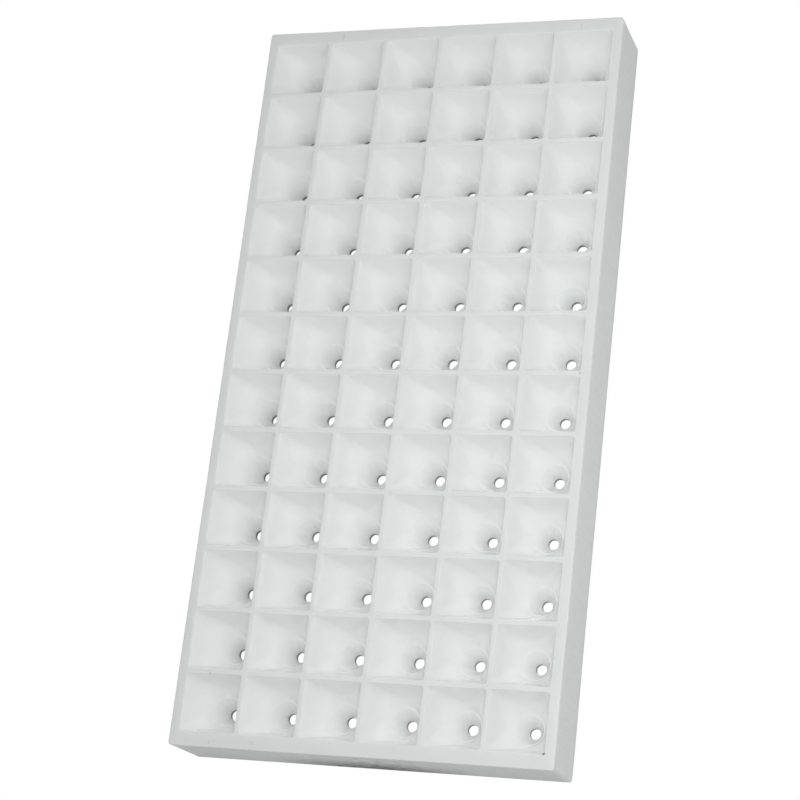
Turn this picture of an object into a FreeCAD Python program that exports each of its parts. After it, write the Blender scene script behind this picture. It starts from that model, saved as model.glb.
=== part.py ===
import FreeCAD, Part
import math
import os

# Expanded-polystyrene plug tray: one foam moulding with a grid of square cells that taper
# to a round throat, a round well and a drain hole. The moulding is written as its walls and
# ribs, which meet face to face and together fill it exactly, so every cell stays open.
# Origin: centre of the underside. +X runs across the tray, +Y along it, +Z up.

# ---- Driving dimensions (millimetres) ----
columns = 6              # cells across the tray
rows = 12                # cells along the tray
cell_opening = 49.4      # side of a cell's square mouth
rib_top = 4.4            # flat top of a rib between two cells
side_rim = 9.1           # rim from the outer cells to a long side
end_rim = 12.75          # rim from the outer cells to a short end
tray_height = 61.5       # underside to rim
mouth_corner = 2.2       # corner radius of the mouth, in plan
throat_depth = 28.0      # below the rim, where the square mouth has become round
throat_radius = 17.0
shoulder_depth = 39.5    # below the rim, where the taper ends on a small ledge
shoulder_radius = 12.4
ledge_drop = 0.8         # fall of the ledge from the taper to the well
well_radius = 11.7       # mouth of the well under the ledge
drain_radius = 4.7
floor_thickness = 5.0    # length of the drain hole
round_flat = 0.6         # straight left between the corner arcs of a round section
outer_corner = 2.0       # radius of the tray's four upright corners
end_root = 4.4           # strip of the end rim that belongs to the roots behind the end slab

# ---- Sizes that follow ----
pitch = cell_opening + rib_top
tray_width = columns * cell_opening + (columns - 1) * rib_top + 2 * side_rim
tray_length = rows * cell_opening + (rows - 1) * rib_top + 2 * end_rim
slab_thickness = end_rim - end_root
slab_inner_y = tray_length / 2 - slab_thickness
drain_depth = tray_height - floor_thickness

NORTH = FreeCAD.Vector(0, 1, 0)
SOUTH = FreeCAD.Vector(0, -1, 0)
EAST = FreeCAD.Vector(1, 0, 0)
WEST = FreeCAD.Vector(-1, 0, 0)


def column_x(column):
    return (column - (columns - 1) / 2) * pitch


def row_y(row):
    """Row 0 is at the head, the +Y end."""
    return ((rows - 1) / 2 - row) * pitch


def round_section(depth, radius):
    return depth, radius, radius - round_flat / 2


# Sections of a cell from rim to underside: depth, half width, corner radius.
cell_sections = [
    (0.0, cell_opening / 2, mouth_corner),
    round_section(throat_depth, throat_radius),
    round_section(shoulder_depth, shoulder_radius),
    round_section(shoulder_depth + ledge_drop, well_radius),
    round_section(drain_depth, drain_radius),
    round_section(tray_height, drain_radius),
]


def diagonal_reach(half, corner):
    """Half width of the square whose corners lie in the middle of the corner arcs."""
    return half - corner * (1 - math.cos(math.radians(45)))


def flank(centre, outward, along, half, corner):
    """One side of a cell's outline, from the middle of one corner arc to the next."""
    straight = half - corner
    reach = diagonal_reach(half, corner)
    bend_out = straight + corner * math.cos(math.radians(22.5))
    bend_along = straight + corner * math.sin(math.radians(22.5))
    first = centre + outward * reach - along * reach
    first_bend = centre + outward * bend_out - along * bend_along
    start = centre + outward * half - along * straight
    end = centre + outward * half + along * straight
    last_bend = centre + outward * bend_out + along * bend_along
    last = centre + outward * reach + along * reach
    return [
        Part.Arc(first, first_bend, start).toShape(),
        Part.LineSegment(start, end).toShape(),
        Part.Arc(end, last_bend, last).toShape(),
    ]


def end_points(edge):
    """Start and end of an edge in the direction that it was drawn."""
    return edge.valueAt(edge.FirstParameter), edge.valueAt(edge.LastParameter)


def closed_wire(edges):
    """Joins the edges in order, with a straight line wherever two of them are apart."""
    joined = []
    for edge, following in zip(edges, edges[1:] + edges[:1]):
        joined.append(edge)
        gap_start = end_points(edge)[1]
        gap_end = end_points(following)[0]
        if gap_start.distanceToPoint(gap_end) > 1e-6:
            joined.append(Part.LineSegment(gap_start, gap_end).toShape())
    return Part.Wire(joined)


def stacked_solid(section_edges):
    """A solid through one outline at each cell section, straight between them."""
    wires = [closed_wire(section_edges(*section)) for section in cell_sections]
    return Part.makeLoft(wires, True, True)


def cell_centre(column, row, depth):
    return FreeCAD.Vector(column_x(column), row_y(row), tray_height - depth)


def flanks_up(column, outward, depth, half, corner):
    """The sides of a whole column of cells that face one way, drawn towards the head."""
    edges = []
    for row in reversed(range(rows)):
        edges += flank(cell_centre(column, row, depth), outward, NORTH, half, corner)
    return edges


def flanks_down(column, outward, depth, half, corner):
    edges = []
    for row in range(rows):
        edges += flank(cell_centre(column, row, depth), outward, SOUTH, half, corner)
    return edges


def slab_line(x_from, x_to, y, depth):
    """The edge along the inside of an end slab."""
    z = tray_height - depth
    return Part.LineSegment(FreeCAD.Vector(x_from, y, z), FreeCAD.Vector(x_to, y, z)).toShape()


def long_rib(left_column):
    """The rib between two columns of cells, from one end slab to the other."""
    def outline(depth, half, corner):
        reach = diagonal_reach(half, corner)
        left_x = column_x(left_column) + reach
        right_x = column_x(left_column + 1) - reach
        edges = flanks_up(left_column, EAST, depth, half, corner)
        edges.append(slab_line(left_x, right_x, slab_inner_y, depth))
        edges += flanks_down(left_column + 1, WEST, depth, half, corner)
        edges.append(slab_line(right_x, left_x, -slab_inner_y, depth))
        return edges
    return stacked_solid(outline)


def side_wall_left():
    """The outer wall on the -X side, between the end slabs."""
    def outline(depth, half, corner):
        inner_x = column_x(0) - diagonal_reach(half, corner)
        outer_x = -tray_width / 2
        edges = flanks_down(0, WEST, depth, half, corner)
        edges.append(slab_line(inner_x, outer_x, -slab_inner_y, depth))
        edges.append(slab_line(outer_x, inner_x, slab_inner_y, depth))
        return edges
    return stacked_solid(outline)


def cross_rib_block(row):
    """One span of the rib between a row and the next, in the first column."""
    def outline(depth, half, corner):
        above = flank(cell_centre(0, row, depth), SOUTH, EAST, half, corner)
        below = flank(cell_centre(0, row + 1, depth), NORTH, WEST, half, corner)
        return above + below
    return stacked_solid(outline)


def end_root_block():
    """The foam between the head slab and the first row's cell, in the first column."""
    def outline(depth, half, corner):
        reach = diagonal_reach(half, corner)
        edges = flank(cell_centre(0, 0, depth), NORTH, WEST, half, corner)
        edges.append(slab_line(column_x(0) - reach, column_x(0) + reach, slab_inner_y, depth))
        return edges
    return stacked_solid(outline)


def end_slab():
    """The flat outer slab of the head end, with the tray's two upright corners rounded."""
    half_width = tray_width / 2
    end_y = tray_length / 2
    bend = outer_corner * (1 - math.cos(math.radians(45)))
    right_arc = Part.Arc(
        FreeCAD.Vector(half_width, end_y - outer_corner, 0),
        FreeCAD.Vector(half_width - bend, end_y - bend, 0),
        FreeCAD.Vector(half_width - outer_corner, end_y, 0)).toShape()
    left_arc = Part.Arc(
        FreeCAD.Vector(outer_corner - half_width, end_y, 0),
        FreeCAD.Vector(bend - half_width, end_y - bend, 0),
        FreeCAD.Vector(-half_width, end_y - outer_corner, 0)).toShape()
    inner_line = slab_line(-half_width, half_width, slab_inner_y, tray_height)
    face = Part.Face(closed_wire([right_arc, left_arc, inner_line]))
    return face.extrude(FreeCAD.Vector(0, 0, tray_height))


def across_columns(block):
    """The same block in every column."""
    copies = []
    for column in range(columns):
        copy = block.copy()
        copy.translate(FreeCAD.Vector(column * pitch, 0, 0))
        copies.append(copy)
    return copies


def half_turn(shape):
    """The shape turned about the upright axis, from one side or end to the other."""
    turned = shape.copy()
    turned.rotate(FreeCAD.Vector(0, 0, 0), FreeCAD.Vector(0, 0, 1), 180)
    return turned


def build_nodes():
    left_wall = side_wall_left()
    head = Part.makeCompound([end_slab()] + across_columns(end_root_block()))
    nodes = {
        "side_wall_left": left_wall,
        "side_wall_right": half_turn(left_wall),
        "end_wall_head": head,
        "end_wall_foot": half_turn(head),
    }
    for number in range(1, columns):
        nodes[f"long_rib_{number}"] = long_rib(number - 1)
    for number in range(1, rows):
        blocks = across_columns(cross_rib_block(number - 1))
        nodes[f"cross_rib_{number:02d}"] = Part.makeCompound(blocks)
    return nodes


os.makedirs("parts", exist_ok=True)
for name, shape in build_nodes().items():
    shape.exportStep(f"parts/{name}.step")
    print(name, "solids", len(shape.Solids), "volume cm3", round(shape.Volume / 1000, 1))
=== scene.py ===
# %% [markdown]
# # A foam plug tray
# This lesson builds the looks of a seedling tray: one block of white expanded polystyrene
# with 72 tapering cells. The frame already holds the tray as walls and ribs for collision.
# The real tray has no seams between those walls, so the looks are one continuous mesh
# that stands for all of them, with the bead skin that steam-moulded foam has.

# %% Load the frame
import math

import bmesh
import bpy
from mathutils import Matrix, Vector, noise


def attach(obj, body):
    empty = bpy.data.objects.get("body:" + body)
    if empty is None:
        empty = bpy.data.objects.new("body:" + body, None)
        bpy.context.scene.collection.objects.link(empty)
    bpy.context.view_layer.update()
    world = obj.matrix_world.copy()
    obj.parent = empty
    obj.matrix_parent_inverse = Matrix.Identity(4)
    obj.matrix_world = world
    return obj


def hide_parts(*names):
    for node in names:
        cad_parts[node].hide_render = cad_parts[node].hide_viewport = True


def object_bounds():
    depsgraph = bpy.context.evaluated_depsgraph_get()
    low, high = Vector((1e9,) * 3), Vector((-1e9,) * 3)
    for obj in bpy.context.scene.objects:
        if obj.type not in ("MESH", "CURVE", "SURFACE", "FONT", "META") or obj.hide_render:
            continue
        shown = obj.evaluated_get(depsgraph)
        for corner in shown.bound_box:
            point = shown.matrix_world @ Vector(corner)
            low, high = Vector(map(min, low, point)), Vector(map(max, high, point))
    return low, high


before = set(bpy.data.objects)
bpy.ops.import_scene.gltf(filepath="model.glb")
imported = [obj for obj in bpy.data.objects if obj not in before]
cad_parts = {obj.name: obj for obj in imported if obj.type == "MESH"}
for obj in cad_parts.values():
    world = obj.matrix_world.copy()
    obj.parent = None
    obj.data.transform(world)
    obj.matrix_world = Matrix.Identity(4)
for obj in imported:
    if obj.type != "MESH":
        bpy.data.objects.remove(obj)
cad_low, cad_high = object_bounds()
MM = 0.001
print("frame nodes:", len(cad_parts), "size mm:", [round(v / MM, 1) for v in cad_high - cad_low])

# %% [markdown]
# ## The tray's measures
# A cell is a square mouth that tapers to a round throat, then a round well, then a drain
# hole. The outside follows the frame's box. The cells' sizes are written here again, equal to
# those of the frame's ribs, so they have to be changed together.

# %% Measures in metres
COLUMNS, ROWS = 6, 12
CELL_OPENING = 49.4 * MM
RIB_TOP = 4.4 * MM
PITCH = CELL_OPENING + RIB_TOP
RIM_HEIGHT = cad_high.z
SKIN_MARGIN = 0.35 * MM        # the foam skin stays this far inside the frame's box
HALF_WIDTH = cad_high.x - SKIN_MARGIN
HALF_LENGTH = cad_high.y - SKIN_MARGIN
TOP_Z = RIM_HEIGHT - SKIN_MARGIN
UNDER_Z = cad_low.z
noise.seed_set(72)
print("pitch mm:", round(PITCH / MM, 2), "cells:", COLUMNS * ROWS)

# %% [markdown]
# ## The camera
# The tray is seen from high over its near right corner with a long lens, as in a catalogue
# picture. A camera on a long lens keeps the upright walls nearly parallel. Its place is given
# by which way round, how high and how far it is, and by how much the camera is rolled, so the
# long side runs up the picture.

# %% Camera
VIEW_AZIMUTH = math.radians(48.01)
VIEW_ELEVATION = math.radians(63.49)
VIEW_ROLL = math.radians(44.283)
VIEW_DISTANCE = 1.8630
VIEW_TARGET = Vector((0.00226, -0.02562, 0.0615))
back = Vector((
    math.sin(VIEW_AZIMUTH) * math.cos(VIEW_ELEVATION),
    -math.cos(VIEW_AZIMUTH) * math.cos(VIEW_ELEVATION),
    math.sin(VIEW_ELEVATION)))
camera_data = bpy.data.cameras.new("catalogue_camera")
camera_data.lens = 97.68
camera_data.sensor_width = 36.0
camera = bpy.data.objects.new("catalogue_camera", camera_data)
bpy.context.scene.collection.objects.link(camera)
level = (-back).to_track_quat("-Z", "Y").to_matrix()
camera.matrix_world = (
    Matrix.Translation(VIEW_TARGET + back * VIEW_DISTANCE)
    @ (level @ Matrix.Rotation(-VIEW_ROLL, 3, "Z")).to_4x4())
bpy.context.scene.camera = camera
print("camera at", [round(v, 3) for v in camera.matrix_world.translation])

# %% [markdown]
# ## The shape of a cell
# The mould's plug for each cell starts square and becomes round on the way down. In plan each
# section is a rounded square, given by a half width and a corner radius. Both change steadily
# with depth, which gives flat flanks that narrow to a point and conical corners that widen.

# %% Cell sections
EDGE_ROUND = 0.5 * MM          # rounding of a rib's top edges
HOLE_ROUND = 0.5 * MM          # rounding of a drain hole's edge on the underside
SUPPORT = 0.3 * MM             # one more ring this far outside a rounding holds the flat beside it
RING_STEP = 5.0 * MM           # depth from one ring of the mesh to the next
CELL_PROFILE = [               # depth under the rim, half width, corner radius, in millimetres
    (0.0, 24.7, 2.2),
    (28.0, 17.0, 17.0),
    (38.8, 12.8, 12.8),
    (39.2, 12.5, 12.5),
    (39.6, 12.1, 12.1),
    (40.1, 11.8, 11.8),
    (41.0, 11.5, 11.5),
    (56.0, 5.2, 5.2),
    (56.6, 4.7, 4.7),
    (60.7, 4.7, 4.7),
]


def rounded_edge(radius, sign):
    """Steps round a quarter circle: how far a ring stands off the wall, and how far down it is."""
    turns = [math.radians(30 * step) for step in range(4)]
    steps = [(radius * (1 - math.sin(turn)), radius * (1 - math.cos(turn))) for turn in turns]
    return steps if sign > 0 else steps[::-1]


def ring_levels():
    """Depth, half width and corner radius of every ring, from the rim to the underside."""
    first, last = CELL_PROFILE[0], CELL_PROFILE[-1]
    flat_edge = EDGE_ROUND + SUPPORT
    levels = [(0.0, first[1] * MM + flat_edge, first[2] * MM + flat_edge)]
    levels += [(down, first[1] * MM + grow, first[2] * MM + grow)
               for grow, down in rounded_edge(EDGE_ROUND, 1)]
    for upper, lower in zip(CELL_PROFILE, CELL_PROFILE[1:]):
        steps = max(1, round((lower[0] - upper[0]) * MM / RING_STEP))
        for step in range(1, steps + 1):
            depth, half, corner = (u + (l - u) * step / steps for u, l in zip(upper, lower))
            levels.append((depth * MM, half * MM, corner * MM))
    for grow, down in rounded_edge(HOLE_ROUND, -1)[1:]:
        levels.append((TOP_Z - UNDER_Z - down, last[1] * MM + grow, last[2] * MM + grow))
    return levels


# %% [markdown]
# A ring has the same number of points at every depth, so the faces between two rings are
# plain quads. Each of its four sides starts in the middle of a corner. Half of a side's points
# are for its two half corners, because the conical corners need them lower down.

# %% Rings
SIDE_STEPS = 16                # points along one side of a ring
BEND_STEPS = 4                 # of those, the points in each of its two half corners


def ring_points(half, corner):
    """One section, as points in plan, from the middle of the south-west corner."""
    straight = half - corner
    side = []
    for step in range(BEND_STEPS):
        turn = math.radians(45 * (1 - step / BEND_STEPS))
        side.append((-straight - corner * math.sin(turn), -straight - corner * math.cos(turn)))
    flats = SIDE_STEPS - 2 * BEND_STEPS
    for step in range(flats):
        side.append((-straight + 2 * straight * step / flats, -half))
    for step in range(BEND_STEPS):
        turn = math.radians(45 * step / BEND_STEPS)
        side.append((straight + corner * math.sin(turn), -straight - corner * math.cos(turn)))
    quarter_turns = ((1, 0), (0, 1), (-1, 0), (0, -1))
    return [(c * x - s * y, s * x + c * y) for c, s in quarter_turns for x, y in side]


def cell_middle(column, row):
    return (column - (COLUMNS - 1) / 2) * PITCH, ((ROWS - 1) / 2 - row) * PITCH


LEVELS = ring_levels()
print("rings in a cell:", len(LEVELS), "points in a ring:", len(ring_points(1, 0.5)))

# %% [markdown]
# ## The moulding
# The mesh is made tile by tile. Each tile is one cell with the rib tops round it, out to the
# middle of the ribs, and the same square of the underside. Tiles at the border reach out to
# the rim's rounded edge instead. Merging them by distance gives one skin with an open edge
# round the rim and another round the foot, and the outer walls are then drawn between them.

# %% Tiles
RIM_ROUND = 0.7 * MM           # rounding of the rim's outer edge and of the foot
CORNER_ROUND = 2.0 * MM        # the four upright corners of the tray
WELD = 0.02 * MM


def tile_reach(column, row):
    """How far a tile goes west, east, south and north of its cell's middle."""
    x, y = cell_middle(column, row)
    west = x + HALF_WIDTH - RIM_ROUND if column == 0 else PITCH / 2
    east = HALF_WIDTH - RIM_ROUND - x if column == COLUMNS - 1 else PITCH / 2
    south = y + HALF_LENGTH - RIM_ROUND if row == ROWS - 1 else PITCH / 2
    north = HALF_LENGTH - RIM_ROUND - y if row == 0 else PITCH / 2
    return west, east, south, north


def tile_border(column, row):
    """The tile's own outline, with a point for each point of a ring, closer near its corners."""
    west, east, south, north = tile_reach(column, row)
    corners = ((-west, -south), (east, -south), (east, north), (-west, north))
    border = []
    for side in range(4):
        start, end = Vector(corners[side]), Vector(corners[(side + 1) % 4])
        for step in range(SIDE_STEPS):
            even = step / SIDE_STEPS
            eased = (1 - math.cos(math.pi * even)) / 2
            border.append(start.lerp(end, (even + eased) / 2))
    return border


def build_tiles(mesh):
    for row in range(ROWS):
        for column in range(COLUMNS):
            x0, y0 = cell_middle(column, row)
            border = tile_border(column, row)
            outlines = [(0.0, border)]
            outlines += [(depth, ring_points(half, corner)) for depth, half, corner in LEVELS]
            outlines.append((TOP_Z - UNDER_Z, border))
            rings = [
                [mesh.verts.new((x0 + x, y0 + y, TOP_Z - depth)) for x, y in outline]
                for depth, outline in outlines]
            for outer, inner in zip(rings, rings[1:]):
                for index in range(len(outer)):
                    after = (index + 1) % len(outer)
                    mesh.faces.new((outer[index], outer[after], inner[after], inner[index]))
    bmesh.ops.remove_doubles(mesh, verts=mesh.verts, dist=WELD)


moulding = bmesh.new()
build_tiles(moulding)
print("faces after the tiles:", len(moulding.faces))

# %% [markdown]
# The outer walls are extruded down from the rim in narrow bands. Each band's points are put
# on an outline with its own inset and corner radius, so the rim and the foot come out rounded
# and the upright corners stay true arcs. The last band lands on the underside and is welded.

# %% Outer walls
WALL_BANDS = 16


def on_outline(point, inset):
    """The point moved to the tray's outline at that inset."""
    half_w, half_l = HALF_WIDTH - inset, HALF_LENGTH - inset
    corner = CORNER_ROUND - inset
    x = point.x * half_w / (HALF_WIDTH - RIM_ROUND)
    y = point.y * half_l / (HALF_LENGTH - RIM_ROUND)
    core = Vector((
        max(corner - half_w, min(half_w - corner, x)),
        max(corner - half_l, min(half_l - corner, y))))
    away = Vector((x, y)) - core
    if away.length > corner:
        away = away.normalized() * corner
    return core + away


def wall_outlines():
    """Inset and height of each band's lower edge, from the rim to the foot."""
    edge = rounded_edge(RIM_ROUND, 1)
    outlines = [(inset, TOP_Z - down) for inset, down in edge[1:]]
    top, foot = TOP_Z - RIM_ROUND, UNDER_Z + RIM_ROUND
    outlines += [(0.0, top + (foot - top) * band / WALL_BANDS) for band in range(1, WALL_BANDS + 1)]
    outlines += [(inset, UNDER_Z + down) for inset, down in edge[-2::-1]]
    return outlines


def tray_outline():
    """Every point of the border tiles that lies on the tray's outline, in order."""
    sides = [
        [(column, ROWS - 1) for column in range(COLUMNS)],
        [(COLUMNS - 1, row) for row in reversed(range(ROWS))],
        [(column, 0) for column in reversed(range(COLUMNS))],
        [(0, row) for row in range(ROWS)]]
    outline = []
    for side, tiles in enumerate(sides):
        for column, row in tiles:
            middle = Vector(cell_middle(column, row))
            border = tile_border(column, row)[side * SIDE_STEPS:(side + 1) * SIDE_STEPS]
            outline += [middle + point for point in border]
    return outline


def build_walls(mesh):
    for vert in {vert for edge in mesh.edges if edge.is_boundary for vert in edge.verts}:
        vert.co.x, vert.co.y = on_outline(vert.co, RIM_ROUND)
    outline = tray_outline()
    bands = [(RIM_ROUND, TOP_Z)] + wall_outlines()
    loops = [
        [mesh.verts.new((*on_outline(point, inset), height)) for point in outline]
        for inset, height in bands]
    for upper, lower in zip(loops, loops[1:]):
        for index in range(len(outline)):
            after = (index + 1) % len(outline)
            mesh.faces.new((upper[index], lower[index], lower[after], upper[after]))
    bmesh.ops.remove_doubles(mesh, verts=mesh.verts, dist=WELD)
    bmesh.ops.recalc_face_normals(mesh, faces=mesh.faces)


build_walls(moulding)
print("open edges left:", sum(edge.is_boundary for edge in moulding.edges))

# %% [markdown]
# ## Small unevenness
# Beads of foam press against the mould with slightly different force, so no face is truly flat
# and no edge truly straight. The points are moved by two soft noises: a long one for the whole
# faces, and one of bead size that only acts near the top, where the edges wear.

# %% Unevenness
LONG_WAVE = 70 * MM
LONG_SWING = 0.25 * MM
BEAD = 3.5 * MM
EDGE_SWING = 0.22 * MM


def roughen(mesh):
    for vert in mesh.verts:
        place = vert.co
        sway = noise.noise_vector(place / LONG_WAVE) * LONG_SWING
        near_top = max(0.0, 1 - (TOP_Z - place.z) / (6 * MM))
        nibble = noise.noise_vector(place / BEAD) * EDGE_SWING * near_top
        move = sway + nibble
        vert.co.x += move.x
        vert.co.y += move.y
        vert.co.z += min(0.0, move.z) * near_top


roughen(moulding)
tray_mesh = bpy.data.meshes.new("tray_moulding")
moulding.to_mesh(tray_mesh)
moulding.free()
tray_mesh.shade_smooth()
tray = bpy.data.objects.new("tray_moulding", tray_mesh)
bpy.context.scene.collection.objects.link(tray)
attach(tray, "root")
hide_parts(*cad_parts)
print("moulding faces:", len(tray_mesh.polygons))

# %% [markdown]
# ## Expanded polystyrene
# The material is steam-moulded EPS bead foam. Beads of 3 to 4 mm swell until they fill the
# mould, so the skin is a mosaic of flattened beads with fine seams between them, white with a
# soft sheen and a little translucent.

# %% Material
def linear(hex_colour):
    """An sRGB hex colour as linear red, green, blue and alpha."""
    parts = [int(hex_colour[i:i + 2], 16) / 255 for i in (1, 3, 5)]
    return tuple(p / 12.92 if p <= 0.04045 else ((p + 0.055) / 1.055) ** 2.4 for p in parts) + (1.0,)


def add_node(tree, kind, settings=None, **links):
    """A node with its settings; each link is an input's name and the socket that feeds it."""
    node = tree.nodes.new(kind)
    for name, value in (settings or {}).items():
        if name in node.inputs:
            node.inputs[name].default_value = value
        else:
            setattr(node, name, value)
    for name, socket in links.items():
        tree.links.new(socket, node.inputs[name.replace("_", " ")])
    return node


# %% [markdown]
# The colour is dimmed where the tray is worn or dirty and where shade is painted, so the next
# cells need a little node arithmetic. Three helpers write it: one for vectors, one for numbers,
# and one for a smooth step from one value to another, which gives every dimming a soft edge.

# %% Node arithmetic
def vector_maths(tree, operation, vector, second):
    node = add_node(tree, "ShaderNodeVectorMath", {"operation": operation}, Vector=vector)
    node.inputs[1].default_value = second
    return node


def maths(tree, operation, first, second):
    """First is a socket; second is a socket or a number."""
    node = add_node(tree, "ShaderNodeMath", {"operation": operation})
    tree.links.new(first, node.inputs[0])
    if isinstance(second, float):
        node.inputs[1].default_value = second
    else:
        tree.links.new(second, node.inputs[1])
    return node.outputs["Value"]


def fade(tree, value, start, end, at_start, at_end):
    """A smooth step from one value to another."""
    node = add_node(tree, "ShaderNodeMapRange", {
        "From Min": start, "From Max": end, "To Min": at_start, "To Max": at_end,
        "interpolation_type": "SMOOTHSTEP"}, Value=value)
    return node.outputs["Result"]


# %% [markdown]
# The tray has been handled. Each small mark is an ellipsoid of darker foam, given by
# its middle, how far it reaches along x, y and z, and how much of the light it takes away.
# Only the surface of the foam shows, so a long thin ellipsoid on the rim is a short scratch.

# %% Marks
MARK_CORE = 0.4                # share of a mark's reach that is fully dark
MARKS = {                      # millimetres: middle x, y, z, reach x, y, z; then the darkness
    "speck_near_corner": ((158.5, -320.3, 60.9), (1.6, 1.6, 1.6), 0.9),
    "speck_last_rib": ((-138.5, -270.7, 61.0), (1.0, 1.0, 1.0), 0.4),
    "speck_right_edge": ((159.1, -0.2, 61.0), (1.0, 1.0, 1.0), 0.35),
    "speck_first_row": ((-98.3, 315.8, 43.8), (1.5, 1.5, 2.0), 0.22),
    "scratch_far_left": ((-95.3, 326.7, 61.0), (0.9, 5.0, 2.0), 0.12),
    "scratch_far_right": ((130.6, 325.7, 61.0), (1.0, 5.0, 2.0), 0.12),
    "nick_near_left": ((-131.0, -329.0, 61.0), (0.8, 2.4, 2.0), 0.14),
    "nick_near_left_short": ((-126.4, -328.2, 61.0), (0.8, 1.8, 2.0), 0.12),
    "rubbed_near_left": ((-92.4, -327.5, 61.0), (3.8, 2.8, 2.0), 0.05),
}


def brightness_left_by_marks(tree, place):
    """One factor for all marks: 1 on clean foam, less on a mark."""
    total = None
    for middle, reach, darkness in MARKS.values():
        offset = vector_maths(tree, "SUBTRACT", place, [v * MM for v in middle])
        ratio = vector_maths(tree, "DIVIDE", offset.outputs["Vector"], [v * MM for v in reach])
        far = add_node(tree, "ShaderNodeVectorMath", {"operation": "LENGTH"},
                       Vector=ratio.outputs["Vector"]).outputs["Value"]
        factor = fade(tree, far, MARK_CORE, 1.0, 1 - darkness, 1.0)
        total = factor if total is None else maths(tree, "MULTIPLY", total, factor)
    return total


print("marks:", len(MARKS))

# %% [markdown]
# All outer walls have faint upright streaks, as a tray gets when it is slid in and out of a
# stack. The end wall nearest the camera is also darker along the middle of its foot, most at
# the bottom, and scuffed. Two stretched noises draw the streaks and the scuffs, and each is
# kept to its walls by how far out on the tray the surface lies.

# %% Wear of the outer walls, and the darker foot of the near end wall
WALL_SKIN = 2 * MM             # how deep behind an outer face counts as that wall
STREAK_SIZES = (2.5 * MM, 2.5 * MM, 40 * MM)
STREAK_NOISE = (0.35, 0.65)    # the noise's values where a streak is weakest and strongest
STREAK_SWING = 0.016
NEAR_MIDDLE_HALF_LENGTH = 115 * MM
# The near end wall is darker along the middle of its foot, most at the bottom.
DARK_FOOT_LOW, DARK_FOOT_HIGH = 2 * MM, 50 * MM
DARK_FOOT_DARKNESS = 0.86
SCUFF_SIZES = (9 * MM, 9 * MM, 3 * MM)
SCUFF_NOISE = (0.42, 0.58)
SCUFF_DARKER, SCUFF_LIGHTER = -0.12, 0.16


def stretched_noise(tree, place, sizes):
    """Noise whose blotches have these sizes along x, y and z; the middle value is 0.5."""
    scaled = vector_maths(tree, "DIVIDE", place, sizes)
    return add_node(tree, "ShaderNodeTexNoise", {"Scale": 1.0, "Detail": 3.0},
                    Vector=scaled.outputs["Vector"]).outputs["Fac"]


def outer_wear_and_dark_foot(tree, place, axes):
    """Change of brightness on the outer walls, and where those walls are, from 0 to 1."""
    across = maths(tree, "ABSOLUTE", axes["X"], 0.0)
    along = maths(tree, "ABSOLUTE", axes["Y"], 0.0)
    side = maths(tree, "GREATER_THAN", across, HALF_WIDTH - WALL_SKIN)
    end = maths(tree, "GREATER_THAN", along, HALF_LENGTH - WALL_SKIN)
    near = maths(tree, "LESS_THAN", axes["Y"], WALL_SKIN - HALF_LENGTH)
    below_rim = fade(tree, axes["Z"], TOP_Z - 2 * WALL_SKIN, TOP_Z - WALL_SKIN, 1.0, 0.0)
    wall = maths(tree, "MULTIPLY", maths(tree, "MAXIMUM", side, end), below_rim)
    streak = stretched_noise(tree, place, STREAK_SIZES)
    streak = fade(tree, streak, *STREAK_NOISE, -STREAK_SWING, STREAK_SWING)
    streak = maths(tree, "MULTIPLY", streak, wall)
    middle = fade(tree, across, 0.0, NEAR_MIDDLE_HALF_LENGTH, 1.0, 0.0)
    # Darker foot: the near end wall's colour is dimmed towards the bottom, in its middle.
    foot = fade(tree, axes["Z"], DARK_FOOT_LOW, DARK_FOOT_HIGH, DARK_FOOT_DARKNESS, 0.0)
    dark_foot = maths(tree, "MULTIPLY", maths(tree, "MULTIPLY", middle, foot), near)
    scuff = stretched_noise(tree, place, SCUFF_SIZES)
    scuff = fade(tree, scuff, *SCUFF_NOISE, SCUFF_DARKER, SCUFF_LIGHTER)
    scuff = maths(tree, "MULTIPLY", scuff, middle)
    scuff = maths(tree, "MULTIPLY", maths(tree, "MULTIPLY", scuff, near), below_rim)
    change = maths(tree, "SUBTRACT", maths(tree, "ADD", streak, scuff), dark_foot)
    return change, wall


# %% [markdown]
# The rim and the rib tops get a little painted shade: their colour is darker than the rest.
# The walls of the drain holes get a stronger painted shade. Both are placed by the height,
# and the shade in the holes is kept off the outer walls and off the underside.

# %% Painted shade on the tops and in the drain holes
# Painted shade: the colour of the rim and the rib tops is darkened.
TOP_SHADE_LOW, TOP_SHADE_HIGH = TOP_Z - 1.2 * MM, TOP_Z - 0.3 * MM
TOP_SHADE_DARKNESS = 0.17
# Painted shade: the colour of the drain holes' walls is darkened.
HOLE_SHADE_LOW = (0.3 * MM, 1 * MM)  # the painted shade in the holes fades in between these heights
HOLE_SHADE_TOP = TOP_Z - 56.4 * MM   # just above the drain holes
HOLE_SHADE_EDGE = 1 * MM
HOLE_SHADE_DARKNESS = 0.6


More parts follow.
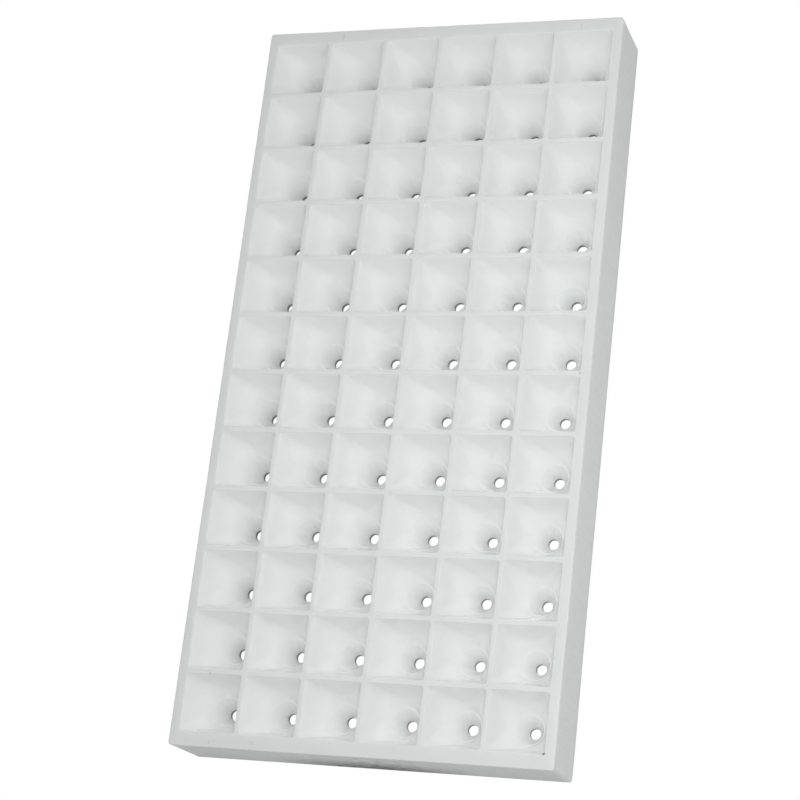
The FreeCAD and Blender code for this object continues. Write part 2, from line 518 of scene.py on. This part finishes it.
def brightness_left_by_wear_and_shade(tree, place):
    """One factor for wear, the darker foot and painted shade together: 1 on clean foam."""
    axes = add_node(tree, "ShaderNodeSeparateXYZ", None, Vector=place).outputs
    change, wall = outer_wear_and_dark_foot(tree, place, axes)
    inside = maths(tree, "SUBTRACT", wall, 1.0)
    # Painted shade on the walls of the drain holes.
    in_hole = fade(tree, axes["Z"], HOLE_SHADE_TOP - HOLE_SHADE_EDGE, HOLE_SHADE_TOP, HOLE_SHADE_DARKNESS, 0.0)
    above_foot = fade(tree, axes["Z"], *HOLE_SHADE_LOW, 0.0, 1.0)
    hole_shade = maths(tree, "MULTIPLY", maths(tree, "MULTIPLY", in_hole, above_foot), inside)
    # Painted shade on the rim and the rib tops.
    top_shade = fade(tree, axes["Z"], TOP_SHADE_LOW, TOP_SHADE_HIGH, 0.0, -TOP_SHADE_DARKNESS)
    return maths(tree, "ADD", maths(tree, "ADD", maths(tree, "ADD", change, hole_shade), top_shade), 1.0)


print("soil up to mm:", round(HOLE_SHADE_TOP / MM, 2))

# %% [markdown]
# The skin itself is the Principled shader with subsurface scattering, because light enters the
# foam and leaves it a few millimetres away. A mosaic of bead seams and a fine grain are its
# bump, and a soft mottle of two whites is its colour, dimmed by the factors of the last cells.

# %% Foam
FOAM_GLOW = 4.0 * MM           # how far light spreads inside the foam
FOAM_GLOSS = 0.22              # roughness of the skin pressed smooth by the mould
DUSTY_WHITE = "#fafbfa"
CLEAN_WHITE = "#fdfdfd"
MOTTLE = 45 * MM               # size of the soft patches of the two whites
SEAM_WIDTH = 0.12              # seam between two beads, as a share of a bead
SEAM_DEPTH = 0.25 * MM
GRAIN = 1.2 * MM               # fine grain of the skin, coarsened so that it shows
GRAIN_DEPTH = 0.15 * MM


def expanded_polystyrene():
    material = bpy.data.materials.new("expanded_polystyrene")
    material.use_nodes = True
    tree = material.node_tree
    tree.nodes.clear()
    place = add_node(tree, "ShaderNodeTexCoord").outputs["Object"]
    beads = add_node(tree, "ShaderNodeTexVoronoi", {
        "feature": "DISTANCE_TO_EDGE", "Scale": 1 / BEAD}, Vector=place)
    seam = fade(tree, beads.outputs["Distance"], 0.0, SEAM_WIDTH, 0.0, 1.0)
    grain = add_node(tree, "ShaderNodeTexNoise", {"Scale": 1 / GRAIN, "Detail": 3.0}, Vector=place)
    seam_bump = add_node(tree, "ShaderNodeBump", {
        "Strength": 0.35, "Distance": SEAM_DEPTH}, Height=seam)
    grain_bump = add_node(tree, "ShaderNodeBump", {
        "Strength": 0.3, "Distance": GRAIN_DEPTH}, Height=grain.outputs["Fac"],
        Normal=seam_bump.outputs["Normal"])
    mottle = add_node(tree, "ShaderNodeTexNoise", {"Scale": 1 / MOTTLE, "Detail": 4.0}, Vector=place)
    colour = add_node(tree, "ShaderNodeValToRGB", None, Fac=mottle.outputs["Fac"])
    colour.color_ramp.elements[0].position = 0.35
    colour.color_ramp.elements[0].color = linear(DUSTY_WHITE)
    colour.color_ramp.elements[1].position = 0.65
    colour.color_ramp.elements[1].color = linear(CLEAN_WHITE)
    left = maths(tree, "MULTIPLY",
                 brightness_left_by_marks(tree, place), brightness_left_by_wear_and_shade(tree, place))
    dimmed = add_node(tree, "ShaderNodeVectorMath", {"operation": "SCALE"},
                      Vector=colour.outputs["Color"], Scale=left)
    shader = add_node(tree, "ShaderNodeBsdfPrincipled", {
        "Roughness": FOAM_GLOSS, "IOR": 1.5, "Subsurface Weight": 1.0,
        "Subsurface Scale": FOAM_GLOW, "Subsurface Radius": (1.0, 1.0, 1.0)},
        Base_Color=dimmed.outputs["Vector"], Normal=grain_bump.outputs["Normal"])
    add_node(tree, "ShaderNodeOutputMaterial", None, Surface=shader.outputs["BSDF"])
    print("foam material nodes:", len(tree.nodes))
    return material


tray_mesh.materials.append(expanded_polystyrene())

# %% [markdown]
# ## Floor
# The tray lies on a white sweep that is lit until it is pure white, as in a catalogue. So the
# floor glows for the camera alone. For all other light it is a plain pale floor, which throws
# a little light up at the outer walls and stays dark under the tray.

# %% Floor
FLOOR_REACH = 6.0              # half the floor's side
FLOOR_GAP = 0.5 * MM           # the floor lies this far under the tray


def white_sweep():
    material = bpy.data.materials.new("white_sweep")
    material.use_nodes = True
    tree = material.node_tree
    tree.nodes.clear()
    glow = add_node(tree, "ShaderNodeEmission", {"Color": linear("#ffffff"), "Strength": 1.0})
    paper = add_node(tree, "ShaderNodeBsdfDiffuse", {"Color": linear("#e1e1e1")})
    path = add_node(tree, "ShaderNodeLightPath")
    both = add_node(tree, "ShaderNodeMixShader")
    tree.links.new(path.outputs["Is Camera Ray"], both.inputs[0])
    tree.links.new(paper.outputs["BSDF"], both.inputs[1])
    tree.links.new(glow.outputs["Emission"], both.inputs[2])
    add_node(tree, "ShaderNodeOutputMaterial", None, Surface=both.outputs["Shader"])
    return material


def stage_floor():
    mesh = bmesh.new()
    bmesh.ops.create_grid(mesh, x_segments=1, y_segments=1, size=FLOOR_REACH)
    data = bpy.data.meshes.new("white_sweep")
    mesh.to_mesh(data)
    mesh.free()
    floor = bpy.data.objects.new("white_sweep", data)
    floor.location.z = UNDER_Z - FLOOR_GAP
    bpy.context.scene.collection.objects.link(floor)
    data.materials.append(white_sweep())


stage_floor()
print("floor side m:", 2 * FLOOR_REACH)

# %% [markdown]
# ## Light
# The cells are lit by seven softboxes that hang at one height above the tray, each turned
# towards its middle. The strongest is on the right. An even light from the whole room fills
# the shadows.

# %% Softboxes
ROOM_LIGHT = 0.34              # even light from the whole room
LIGHT_BOUNCES = 6              # white cells pass light on many times
SOFTBOX_HEIGHT = 0.9
SOFTBOX_COLOUR = linear("#fcfffe")
SOFTBOXES = {                  # place over the floor and side in metres, and watts
    "softbox_small": (0.28, -0.25, 0.26, 1.4),
    "softbox_right": (0.6, 0.0, 0.6, 2.2),
    "softbox_left": (-0.2, 0.1, 0.6, 0.5),
    "softbox_near": (0.0, -0.7, 0.6, 1.3),
    "softbox_far": (0.0, 0.7, 0.6, 1.1),
    "softbox_near_right": (0.6, -0.7, 0.6, 0.3),
    "softbox_far_right": (0.6, 0.7, 0.6, 0.4),
}


def hang_softbox(name, x, y, side, watts):
    data = bpy.data.lights.new(name, "AREA")
    data.shape = "SQUARE"
    data.size = side
    data.energy = watts
    data.color = SOFTBOX_COLOUR[:3]
    light = bpy.data.objects.new(name, data)
    place = Vector((x, y, SOFTBOX_HEIGHT))
    turn = (-place).to_track_quat("-Z", "Y").to_matrix().to_4x4()
    light.matrix_world = Matrix.Translation(place) @ turn
    bpy.context.scene.collection.objects.link(light)


for name, (x, y, side, watts) in SOFTBOXES.items():
    hang_softbox(name, x, y, side, watts)
world = bpy.data.worlds.new("studio")
world.use_nodes = True
world.node_tree.nodes["Background"].inputs["Color"].default_value = SOFTBOX_COLOUR
world.node_tree.nodes["Background"].inputs["Strength"].default_value = ROOM_LIGHT
bpy.context.scene.world = world
bpy.context.scene.view_settings.view_transform = "Standard"
bpy.context.scene.cycles.diffuse_bounces = LIGHT_BOUNCES
print("softboxes:", len(SOFTBOXES), "watts:", round(sum(box[3] for box in SOFTBOXES.values()), 1))
